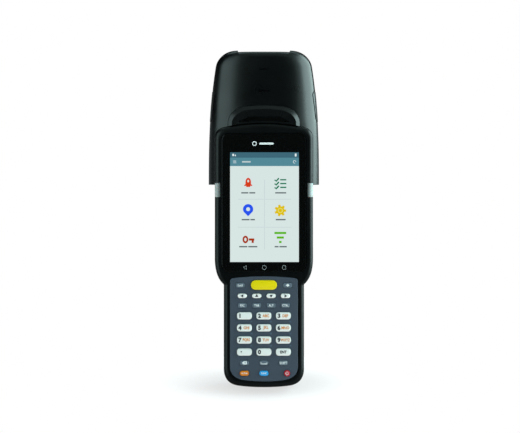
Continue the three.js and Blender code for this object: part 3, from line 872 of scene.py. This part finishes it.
def screen_layer(mesh, outline, level, color):
    """Adds a flat part of the picture. A higher level lies nearer the eye."""
    front = GLASS["front"] - 0.02 * level
    moved = [(x + SCREEN_SHIFT, z) for x, z in outline]
    add_rings(mesh, [at_depth(moved, front), at_depth(moved, GLASS["front"] + 0.05)], color)


def tile(mesh, left, bottom, right, top, level, color):
    screen_layer(mesh, rectangle(left, bottom, right, top), level, color)


def rocket(mesh, x, z):
    hull = [(x + 1.3, z - 3.1), (x + 1.9, z - 2)]
    bend(hull, 10, (x + 2.8, z + 3.2), (x, z + 4))
    screen_layer(mesh, hull + [(2 * x - px, pz) for px, pz in reversed(hull[:-1])], 2, RED)
    for sign in (-1, 1):
        fin = [(1.7, -0.6), (3.1, -1.7), (2.9, -2.4), (1.5, -2.1)]
        screen_layer(mesh, [(x + sign * px, z + pz) for px, pz in fin], 3, RED)
    screen_layer(mesh, oval(x, z + 1.4, 0.7, 1.0), 4, WHITE)


def checklist(mesh, x, z):
    for row in (z + 2.9, z, z - 2.9):
        tick = strip([(x - 4.4, row), (x - 3.3, row - 1.1), (x - 1.2, row + 1.2)], 1.15)
        screen_layer(mesh, tick, 2, GREEN)
        tile(mesh, x - 0.2, row - 0.5, x + 4.5, row + 0.5, 2, GREEN)


def pin(mesh, x, z):
    round_part = arc(x, z + 1, 3.9, -32, 212, 28)
    screen_layer(mesh, round_part + [(x, z - 4.4)], 2, BLUE)
    screen_layer(mesh, circle(x, z + 1, 1.5, 24), 3, WHITE)


def gear(mesh, x, z):
    teeth, root, tip = 7, 3.2, 4.5
    outline = []
    for tooth in range(teeth):
        for turn, radius in ((-17, root), (-11, tip), (11, tip), (17, root)):
            angle = math.radians(360 / teeth * tooth + turn - 2)
            outline.append((x + radius * math.cos(angle), z + radius * math.sin(angle)))
    screen_layer(mesh, outline, 2, YELLOW)
    screen_layer(mesh, circle(x, z, 2.0, 24), 3, LIGHT_YELLOW)
    screen_layer(mesh, circle(x, z, 1.3, 24), 4, YELLOW)


def lock_key(mesh, x, z):
    screen_layer(mesh, oval(x - 2.2, z, 2.2, 2.9), 2, RUST)
    screen_layer(mesh, oval(x - 2.2, z, 0.9, 1.4), 3, WHITE)
    tile(mesh, x + 0.4, z - 0.8, x + 4.6, z + 0.8, 3, RUST)
    tile(mesh, x + 2.6, z - 2.6, x + 4.2, z, 4, RUST)


def sieve(mesh, x, z):
    for half_width, row in ((4.5, z + 3.5), (2.7, z), (0.95, z - 3.4)):
        tile(mesh, x - half_width, row - 0.8, x + half_width, row + 0.8, 2, LIME)


def caption(mesh, x, z, words):
    """Grey bars in place of the words under an icon."""
    space = 0.7
    left = x - (sum(words) + space * (len(words) - 1)) / 2
    for width in words:
        tile(mesh, left, z - 0.5, left + width, z + 0.5, 2, TEXT)
        left += width + space


# each icon with its place, and its caption's place and words
ICONS = [
    (rocket, (-12.45, 156.5), (-12.4, 148.9), (5.4, 4.6)), (checklist, (12.2, 156), (12.4, 148.9), (8.4,)),
    (pin, (-12.55, 135.4), (-12.4, 128.4), (6, 3.4)), (gear, (12.1, 135.4), (12.4, 128.4), (7.6,)),
    (lock_key, (-12.4, 113.2), (-12.4, 107.7), (6.2, 7)), (sieve, (12.1, 114.7), (12.4, 107.7), (3, 5.6)),
]


def screen_ground(mesh):
    """The white page, the two bars above it and the lines between the icons."""
    edges = (("bottom", "bar", WHITE), ("bar", "status", BAR), ("status", "top", STATUS))
    for low, high, color in edges:
        tile(mesh, SCREEN["left"], SCREEN[low], SCREEN["right"], SCREEN[high], 1, color)
    tile(mesh, -0.15, 105.5, 0.15, 158.9, 2, LINE)
    for z in (144, 122.6):
        tile(mesh, -20.4, z - 0.15, -0.5, z + 0.15, 2, LINE)
        tile(mesh, 0.5, z - 0.15, 20.4, z + 0.15, 2, LINE)


def status_signs(mesh, z):
    tile(mesh, -24.6, z - 0.8, -23.3, z + 0.9, 2, PALE)
    screen_layer(mesh, [(-22.9, z - 0.8), (-21.7, z - 0.8), (-22.3, z + 0.6)], 2, PALE)
    tile(mesh, 23.2, z - 1.1, 24.5, z + 1.1, 2, PALE)


def title_signs(mesh, z):
    for row in (z - 0.8, z, z + 0.8):
        tile(mesh, -24, row - 0.14, -21.6, row + 0.14, 2, PALE)
    tile(mesh, -17.2, z - 0.5, -10.6, z + 0.6, 2, LINE)
    screen_layer(mesh, strip(arc(23, z, 1.0, 0, 300, 16), 0.35), 2, PALE)


def screen():
    mesh = bmesh.new()
    screen_ground(mesh)
    for draw, place, caption_place, words in ICONS:
        draw(mesh, *place)
        caption(mesh, *caption_place, words)
    status_signs(mesh, (SCREEN["status"] + SCREEN["top"]) / 2)
    title_signs(mesh, (SCREEN["bar"] + SCREEN["status"]) / 2)
    materials = [lit(name, linear(*color)) for name, color in SCREEN_COLORS]
    piece(to_object("display_picture", mesh), "terminal", "display", materials, sharp=20)


WHITE_MARK, SILVER_MARK = 0, 1
NAV_ROW = 91.8
NAV_STROKE = 0.2
TITLE_ROW = 186.6


def glass_marks():
    """Printed navigation signs under the picture, and a plain mark above it."""
    mesh = bmesh.new()

    def mark(outline, slot):
        add_sign(mesh, outline, lambda px, pz: GLASS["front"], slot, 0.02)

    def closed_line(points):
        for one, two in zip(points, points[1:] + points[:1]):
            if (Vector(one) - Vector(two)).length > 0.01:
                mark(strip([one, two], NAV_STROKE), SILVER_MARK)
    closed_line([(-15.6, NAV_ROW), (-13.5, NAV_ROW - 1.5), (-13.5, NAV_ROW + 1.5)])
    mark(strip(arc(0.3, NAV_ROW, 1.5, 0, 355, 28), NAV_STROKE), SILVER_MARK)
    closed_line(rounded_rectangle(2.3, 2.9, 0.5, 15.5, NAV_ROW, 3))
    mark(strip(arc(-7.2, TITLE_ROW, 1.5, 0, 355, 24), 0.6), WHITE_MARK)
    mark(rounded_rectangle(11, 1.5, 0.7, 2, TITLE_ROW, 4), WHITE_MARK)
    piece(to_object("glass_marks", mesh), "terminal", "key_white", [INK_WHITE, INK_SILVER])


# ---- antenna head


HEAD_POINTS = 96
HEAD_POWERS = (2.8, 3.4)


def section_ring(z, half_width, front, back, front_power, back_power, points):
    """A level section: a rounded box, squarer as its powers grow."""
    middle, half = (front + back) / 2, (back - front) / 2
    ring = []
    for i in range(points):
        angle = 2 * math.pi * i / points
        power = 2 / (front_power if math.sin(angle) < 0 else back_power)
        across = math.copysign(abs(math.cos(angle)) ** power, math.cos(angle))
        along = math.copysign(abs(math.sin(angle)) ** power, math.sin(angle))
        ring.append((half_width * across, middle + half * along, z))
    return ring


def head_ring(z, top, inset):
    share = max(0.0, (z - HEAD_BOTTOM) / (HEAD_TOP - HEAD_BOTTOM))
    beyond = max(0.0, (z - BODY_LENGTH) / (HEAD_TOP - BODY_LENGTH))

    def drop(radius):
        past = max(0.0, z - (top - radius))
        return radius - math.sqrt(max(0.0, radius * radius - past * past))
    half_width = HEAD_HALF_WIDTH * (1 - HEAD_TAPER * share ** HEAD_TAPER_POWER) - drop(HEAD_CORNER) - inset
    front = HEAD_FRONT + HEAD_FRONT_FALL * beyond + drop(HEAD_EDGE) + inset
    back = HEAD_BACK - HEAD_BACK_RISE * beyond - drop(HEAD_EDGE) - inset
    return section_ring(z, half_width, front, back, *HEAD_POWERS, HEAD_POINTS)


def head_loft(name, bottom, top, inset):
    side_steps, corner_steps = 30, 14
    shoulder = top - HEAD_CORNER
    levels = [bottom + (shoulder - bottom) * i / side_steps for i in range(side_steps)]
    levels += [shoulder + HEAD_CORNER * math.sin(math.pi / 2 * i / corner_steps)
               for i in range(corner_steps + 1)]
    return from_rings(name, [head_ring(z, top, inset) for z in levels])


def top_recess():
    """What is cut from the head's top between its two corners: a shallow channel with sloping sides."""
    outline = [(-18.2, 253.2), (18.2, 253.2), (20.8, HEAD_TOP + 1.5), (-20.8, HEAD_TOP + 1.5)]
    made = from_rings("top_recess", [at_depth(outline, y) for y in (-5, BEYOND)])
    lowered = head_loft("lowered", HEAD_BOTTOM, HEAD_TOP, 0)
    lowered.data.transform(Matrix.Translation((0, 0, -RECESS_DEPTH)))
    return cut(made, lowered)


def side_prism(name, outline, sign, inner, outer):
    """A solid whose outline is drawn in y and z, at one side of the head."""
    return from_rings(name, [[(sign * x, y, z) for y, z in outline] for x in (inner, outer)])


def tongue_space(sign, grow):
    """The room of the tongue with which the front cover reaches over the rear cover at each side."""
    outline = rounded_rectangle(12 + 2 * grow, 23 + 2 * grow, 3.2 + grow, HEAD_SPLIT + 1.4, 215.7)
    return side_prism("tongue", outline, sign, 30, BEYOND)


def front_space(grow):
    """The room of the front cover."""
    made = box("front_space", (-BEYOND, -5, 100), (BEYOND, HEAD_SPLIT + grow, 300))
    return join(made, tongue_space(-1, grow), tongue_space(1, grow))


def tongue_pad(sign):
    """The tongue's outside, a little proud of the head."""
    return keep(head_loft("tongue_pad", HEAD_BOTTOM, HEAD_TOP, -0.25), tongue_space(sign, 0))


def side_groove(sign):
    """The narrow groove round a tongue, and the one along the line where the covers meet."""
    made = tongue_space(sign, 0.6)
    seam = rounded_rectangle(2.2, 110, 0.1, HEAD_SPLIT + 0.1, 205)
    join(made, side_prism("seam_groove", seam, sign, 30, BEYOND))
    return cut(made, head_loft("groove_floor", HEAD_BOTTOM - 3, HEAD_TOP, 0.8))


def slit(z, half_width):
    """What is cut for one of the two short slits in the head's face."""
    middle_of_face = head_ring(z, HEAD_TOP, 0)[HEAD_POINTS * 3 // 4]
    front = middle_of_face[1]
    return box("slit", (-half_width, front - 3, z - 0.6), (half_width, front + 1.2, z + 0.6))


def head_shell():
    made = head_loft("head", HEAD_BOTTOM, HEAD_TOP, 0)
    cut(made, top_recess())
    for sign in (-1, 1):
        cut(made, side_groove(sign))
        join(made, tongue_pad(sign))
    return cut(
        made,
        slit(244.3, 3.3),
        slit(227.5, 4.4),
        head_loft("cavity", BODY_LENGTH + 4, HEAD_TOP - RECESS_DEPTH - HEAD_WALL, HEAD_WALL),
        box("module_room", (-29, 36, 158), (29, 46.6, 210)),
        plate("body_seat", widened(body_outline, SEAT_GAP), -20, BODY_DEPTH + SEAT_GAP),
        plate("bumper_seat", widened(bumper_outline, GAP), -20, 15),
        box("window_room", (-15.8, 29.2, 253.4), (15.8, 37.8, 262)))


def head_covers():
    front = head_shell()
    rear = copy_of(front, "head_rear_shell")
    front.name = "head_front_shell"
    keep(front, front_space(0))
    cut(rear, front_space(GAP))
    piece(front, "terminal", "shell_black", [SHELL], ["head_front_cover"])
    piece(rear, "terminal", "shell_black", [SHELL], ["head_rear_cover"])


def top_bumper():
    front, chamfer = 1.2, 3
    profile = [(0, 14.5), (0, front + 2.4), (0.15, front + 2.0), (chamfer - 0.3, front + 0.1),
               (chamfer, front), (7.5, front), (7.8, front + 0.35), (12, front + 0.35)]
    made = from_rings("bumper_arch", [at_depth(bumper_outline(inset), y) for inset, y in profile])
    cut(made, plate("body_room", widened(body_outline, GAP), -5, 30))
    piece(made, "terminal", "bumper_rubber", [BUMPER], ["top_bumper"])


def scan_window():
    top = HEAD_TOP - RECESS_DEPTH - 0.6
    made = soft_box("scan_pane", (-15.5, 29.5, 253.4), (15.5, 37.5, top), 0.3, 0.3, 2)
    join(made, box("flange", (-16.7, 28.3, 253.4), (16.7, 38.7, 255.1)))
    piece(made, "terminal", "scan_window", [RED_GLASS], ["scan_window"])


# ---- pistol grip

FOOT_FRONT = GRIP_LENGTH + GAP
FOOT_END = GRIP_LENGTH + FOOT_LENGTH

# distance along the grip, front, back, half width
GRIP_STATIONS = [
    (-12, -31, 46, 21), (0, -28, 34, 19.6), (7, -24.5, 27.5, 18.6), (16, -22, 24, 18),
    (32, -20.5, 22.5, 17.6), (52, -19, 22.6, 17.2), (76, -19, 22, 17.2), (98, -19.8, 23, 17.8),
    (GRIP_LENGTH, -22, 25, 19),
]
FOOT_STATIONS = [
    (FOOT_FRONT, -23, 26, 20), (GRIP_LENGTH + 4, -25.5, 27.5, 21), (FOOT_END - 3, -26.5, 28, 21.2),
    (FOOT_END - 0.9, -25.6, 27.1, 20.3), (FOOT_END, -23.5, 25, 18.2),
]
PIVOT = (-19.5, 8)
PIN_RADIUS = 1.5
LATCH = {"inner": 17.8, "y": 1, "half_width": 7.5, "z": GRIP_LENGTH + 8, "half_height": 4}
LATCH_TRAVEL = 1.5


def smooth_stations(stations, steps):
    """More stations between the given ones, on smooth curves through them."""
    made = []
    last = len(stations) - 1
    for i in range(last):
        before, start, end, after = (stations[max(0, min(last, j))] for j in (i - 1, i, i + 1, i + 2))
        for step in range(steps):
            t = step / steps
            made.append(tuple(0.5 * (2 * b + (c - a) * t + (2 * a - 5 * b + 4 * c - d) * t * t
                                     + (3 * b - a - 3 * c + d) * t ** 3)
                              for a, b, c, d in zip(before, start, end, after)))
    return made + [stations[last]]


def grip_loft(name, stations, front_power, back_power, steps):
    return from_rings(name, [section_ring(z, half, front, back, front_power, back_power, 72)
                             for z, front, back, half in smooth_stations(stations, steps)])


def pivot_bore(length):
    """What is cut along x for the trigger's pin."""
    y, z = PIVOT
    circle_points = circle(0, 0, PIN_RADIUS + 0.1)
    return from_rings("pivot_bore", [[(x, y + py, z + pz) for py, pz in circle_points]
                                     for x in (-length / 2, length / 2)])


def behind_body():
    made = box("behind_body", (-BEYOND, -BEYOND, -BEYOND), (BEYOND, BODY_DEPTH + GAP, 300))
    made.data.transform(GRIP_IN_DEVICE.inverted())
    return made


def grip_shell():
    made = grip_loft("grip", GRIP_STATIONS, 2.7, 2.5, 6)
    for z in range(50, 104, 6):
        cut(made, finger_groove(z))
    return cut(
        made,
        behind_body(),
        box("well", (-12.8, -12.3, 25.7), (12.8, 14.3, GRIP_LENGTH + 1)),
        box("slot", (-9.6, -BEYOND, 4), (9.6, -16.2, 43)),
        box("switch_room", (-4.3, -BEYOND, 11.7), (4.3, -8.7, 19.3)),
        box("wiring", (-8, -9, 12), (8, 10, 27)),
        pivot_bore(27))


def finger_groove(z):
    """A shallow groove across the palm side of the grip: a bent bar laid a little into its surface."""
    middle, half_depth, half_width, power = 1.5, 20.6, 17.5, 2.5  # of the grip's section
    radius, half_height, sides = 1.6, 1.5, 18
    angles = [2 * math.pi * i / sides for i in range(sides)]
    rings = []
    for x in range(-15, 16, 3):
        palm = middle + half_depth * (1 - abs(x / half_width) ** power) ** (1 / power)
        rings.append([(x, palm + radius * (1 + math.cos(a)), z + half_height * math.sin(a)) for a in angles])
    return from_rings("groove", rings)


def grip_halves():
    left = grip_shell()
    right = copy_of(left, "grip_right_shell")
    left.name = "grip_left_shell"
    keep(left, box("left_side", (-60, -90, -30), (-GAP / 2, 90, 160)))
    keep(right, box("right_side", (GAP / 2, -90, -30), (60, 90, 160)))
    for made, side in ((left, "left"), (right, "right")):
        piece(made, "terminal", "shell_black", [GRIP_RUBBER], [f"grip_{side}"], GRIP)


def trigger():
    side = [(-17.2, 5.2)]
    bend(side, 10, (-27.5, 4.6), (-28.6, 11))
    bend(side, 14, (-26.6, 24), (-31.5, 36))
    bend(side, 8, (-32, 40), (-28.5, 40.6))
    side += [(-22.2, 39.6), (-17.2, 12.5)]
    middle_y, middle_z = -23.5, 22
    half_width, round_width, round_depth, round_steps = 9, 2.2, 1.5, 6

    def ring(x, inset):
        """The side view, drawn in a little more in y than in z."""
        return [(x, middle_y + (y - middle_y) * (1 - inset / 9), middle_z + (z - middle_z) * (1 - inset / 20))
                for y, z in side]
    angles = [math.pi / 2 * i / round_steps for i in range(round_steps + 1)]
    edge = [(half_width - round_width * (1 - math.cos(a)), round_depth * (1 - math.sin(a))) for a in angles]
    rings = [ring(-x, inset) for x, inset in edge] + [ring(x, inset) for x, inset in reversed(edge)]
    made = cut(from_rings("trigger_lever", rings), pivot_bore(40))
    piece(made, "trigger", "trigger_grey", [TRIGGER_GREY], ["trigger"], GRIP)


def side_box(name, sign, inner, outer, y_ends, z_ends):
    """A box between two distances off the middle, on one side."""
    low, high = sorted((sign * inner, sign * outer))
    return box(name, (low, y_ends[0], z_ends[0]), (high, y_ends[1], z_ends[1]))


def latch_block(sign, gap):
    """The room of a latch in the side of the battery's foot, or the latch in it."""
    y, z = LATCH["y"], LATCH["z"]
    half_width, half_height = LATCH["half_width"] - gap, LATCH["half_height"] - gap
    return side_box("latch_block", sign, LATCH["inner"] + gap, 25,
                    (y - half_width, y + half_width), (z - half_height, z + half_height))


def foot_loft(name):
    return grip_loft(name, FOOT_STATIONS, 4, 4, 4)


def battery():
    made = foot_loft("battery_shell")
    join(made, box("core", (-12.5, -12, 26), (12.5, 14, GRIP_LENGTH + 2)))
    cut(made, latch_block(1, 0), latch_block(-1, 0), below_floor(GRIP))
    piece(made, "battery", "shell_black", [SHELL], ["battery_pack"], GRIP)


def latches():
    for side, sign in (("left", -1), ("right", 1)):
        made = keep(foot_loft(f"{side}_latch_button"), latch_block(sign, GAP))
        inner = LATCH["inner"] + LATCH_TRAVEL + GAP
        cut(made, side_box("behind_latch", sign, inner, -BEYOND, (-BEYOND, BEYOND), (0, 200)))
        for z in (LATCH["z"] - 2, LATCH["z"], LATCH["z"] + 2):
            cut(made, side_box("rib_gap", sign, 20.7, 30, (-4, 6), (z - 0.35, z + 0.35)))
        piece(made, f"latch_{side}", "latch_grey", [LATCH_GREY], [f"battery_latch_{side}"], GRIP)


# ---- CAD nodes that stay

INNER_LOOKS = {
    "lcd_panel": CAST_METAL, "chassis_frame": CAST_METAL, "keypad_board": BOARD, "main_board": BOARD,
    "antenna_board": BOARD, "rfid_module": STEEL, "dock_contacts": GOLD, "speaker": STEEL,
    "scan_engine": INNER_GREY, "trigger_switch": INNER_GREY, "trigger_pin": DARK_STEEL,
}


def inner_parts():
    for name, material in INNER_LOOKS.items():
        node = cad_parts[name]
        node.data.materials.clear()
        node.data.materials.append(material)


# ---- stage

KEYPAD_END = (0, -0.062)  # where the keypad end meets the floor, and the middle of the painted contact shadow
SHADE_DEPTH = 1.6  # how much faster the painted shade fades to the front and back than to the sides
# two distances in metres and a value at each: the floor's glow, kept low near the keypad end as a painted
# contact shadow, what is added to it further out, and the share of it that is left out of the picture. They
# run from the keypad end, but FAR_GLOW from the origin.
PAINTED_SHADE = (0.02, 0.088, 0.67, 0.92)
FAR_GLOW = (0.25, 0.8, 0, 0.1)
LEFT_OUT = (0.09, 0.12, 0, 1)
MIRRORED_GLOW = 0.11
FLOOR_REACH = 9
FLOOR_THICKNESS = 0.0005


def floor_material():
    """White paper: a little lamp light for real shadows, over a glow that fades under the keypad end into a
    painted contact shadow.

    The glow is dim in reflections, so that the dark plastic stays dark. Away from the shade the floor is as
    white as what is behind it, and is left out of the picture there, so that the battery can be seen when it
    is drawn out below the floor.
    """
    graph = Graph("floor_white")
    middle = (-KEYPAD_END[0], -KEYPAD_END[1] * SHADE_DEPTH, 0)
    inputs = {"Vector": graph.coordinates, "Scale": (1, SHADE_DEPTH, 1), "Location": middle}
    distance = graph.length(graph.node("Mapping", "Vector", inputs))
    far = graph.ramp(graph.length(graph.coordinates), *FAR_GLOW)
    # painted contact shadow: the glow is lowered near the keypad end, whatever the lamps do
    glow = graph.math("ADD", graph.ramp(distance, *PAINTED_SHADE), far)
    mirrored = graph.ramp(graph.node("LightPath", "Is Glossy Ray"), 0, 1, 1, MIRRORED_GLOW)
    graph.link(graph.math("MULTIPLY", glow, mirrored), "Emission Strength")
    looked_at = graph.node("LightPath", "Is Camera Ray")
    unseen = graph.math("MULTIPLY", graph.ramp(distance, *LEFT_OUT), looked_at)
    graph.link(graph.ramp(unseen, 0, 1, 1, 0), "Alpha")
    graph.set(base_color=(0.2, 0.2, 0.2, 1), emission_color=(1, 1, 1, 1), roughness=0.9,
              specular_ior_level=0.0)
    return graph.material


def floor():
    corners = rectangle(-FLOOR_REACH, -FLOOR_REACH, FLOOR_REACH, FLOOR_REACH)
    made = from_rings("floor", [[(x, y, z) for x, y in corners] for z in (-FLOOR_THICKNESS, 0)])
    made.data.materials.append(floor_material())


CAMERA_DISTANCE = 2000
VIEW_CENTRE = (-2.99, 130.8)  # what the middle of the picture shows, in x and z of the device
PICTURE_WIDTH = 397.8  # of what the picture shows at the device's front


def camera():
    data = bpy.data.cameras.new("camera")
    made = add_object("camera", data)
    data.sensor_width = 36
    data.lens = data.sensor_width * CAMERA_DISTANCE / PICTURE_WIDTH
    data.clip_end = 30
    place = DEVICE @ Vector((VIEW_CENTRE[0], -CAMERA_DISTANCE, VIEW_CENTRE[1]))
    made.matrix_world = Matrix.Translation(place) @ Matrix.Rotation(math.pi / 2 - LEAN, 4, "X")
    bpy.context.scene.camera = made


LIGHT_TARGET = Vector((0, 0, 0.13))
LIGHT_COLOR = (0.74, 1.0, 0.99)

# azimuth, elevation, distance, width, height, radiance. Azimuth 0 is the camera's side, 90 the right side.
SOFTBOXES = {
    "right_softbox": (96, 14, 1.3, 1.8, 1.7, 6.3),
    "right_edge_softbox": (50, 14, 1.5, 0.5, 1.6, 0.9),
    "left_softbox": (-57, 14, 1.3, 1.2, 1.6, 2.0),
    "top_softbox": (0, 80, 1.6, 2.0, 1.4, 0.3),
    "back_softbox": (180, 50, 1.8, 1.8, 1.0, 1.2),
}


def lights():
    for name, (azimuth, elevation, distance, width, height, radiance) in SOFTBOXES.items():
        data = bpy.data.lights.new(name, "AREA")
        data.shape = "RECTANGLE"
        data.size = width
        data.size_y = height
        data.energy = radiance * math.pi * width * height
        data.color = LIGHT_COLOR
        made = add_object(name, data)
        turn, lift = math.radians(azimuth), math.radians(elevation)
        out = Vector((math.sin(turn) * math.cos(lift), -math.cos(turn) * math.cos(lift), math.sin(lift)))
        made.location = LIGHT_TARGET + out * distance
        made.rotation_euler = (-out).to_track_quat("-Z", "Y").to_euler()
        made.visible_camera = False


REFLECTED_WORLD = 0.012  # the strength of the white surroundings in reflections


def surroundings():
    """White to look at, and dim in reflections, so that the dark plastic stays dark."""
    world = bpy.data.worlds.new("studio")
    bpy.context.scene.world = world
    world.use_nodes = True
    nodes, links = world.node_tree.nodes, world.node_tree.links
    path = nodes.new("ShaderNodeLightPath")
    strength = nodes.new("ShaderNodeMapRange")
    strength.inputs["To Min"].default_value = REFLECTED_WORLD
    strength.inputs["To Max"].default_value = 1.0
    links.new(path.outputs["Is Camera Ray"], strength.inputs["Value"])
    links.new(strength.outputs["Result"], nodes["Background"].inputs["Strength"])
    nodes["Background"].inputs["Color"].default_value = (1, 1, 1, 1)
    bpy.context.scene.view_settings.view_transform = "Standard"


# ---- build

camera()
front_housing()
light_pipe("left", -1)
light_pipe("right", 1)
rear_housing()
touch_glass()
rear_screws()
keys()
keypad_fascia()
panel_marks()
screen()
glass_marks()
head_covers()
top_bumper()
scan_window()
grip_halves()
trigger()
battery()
latches()
inner_parts()
floor()
lights()
surroundings()
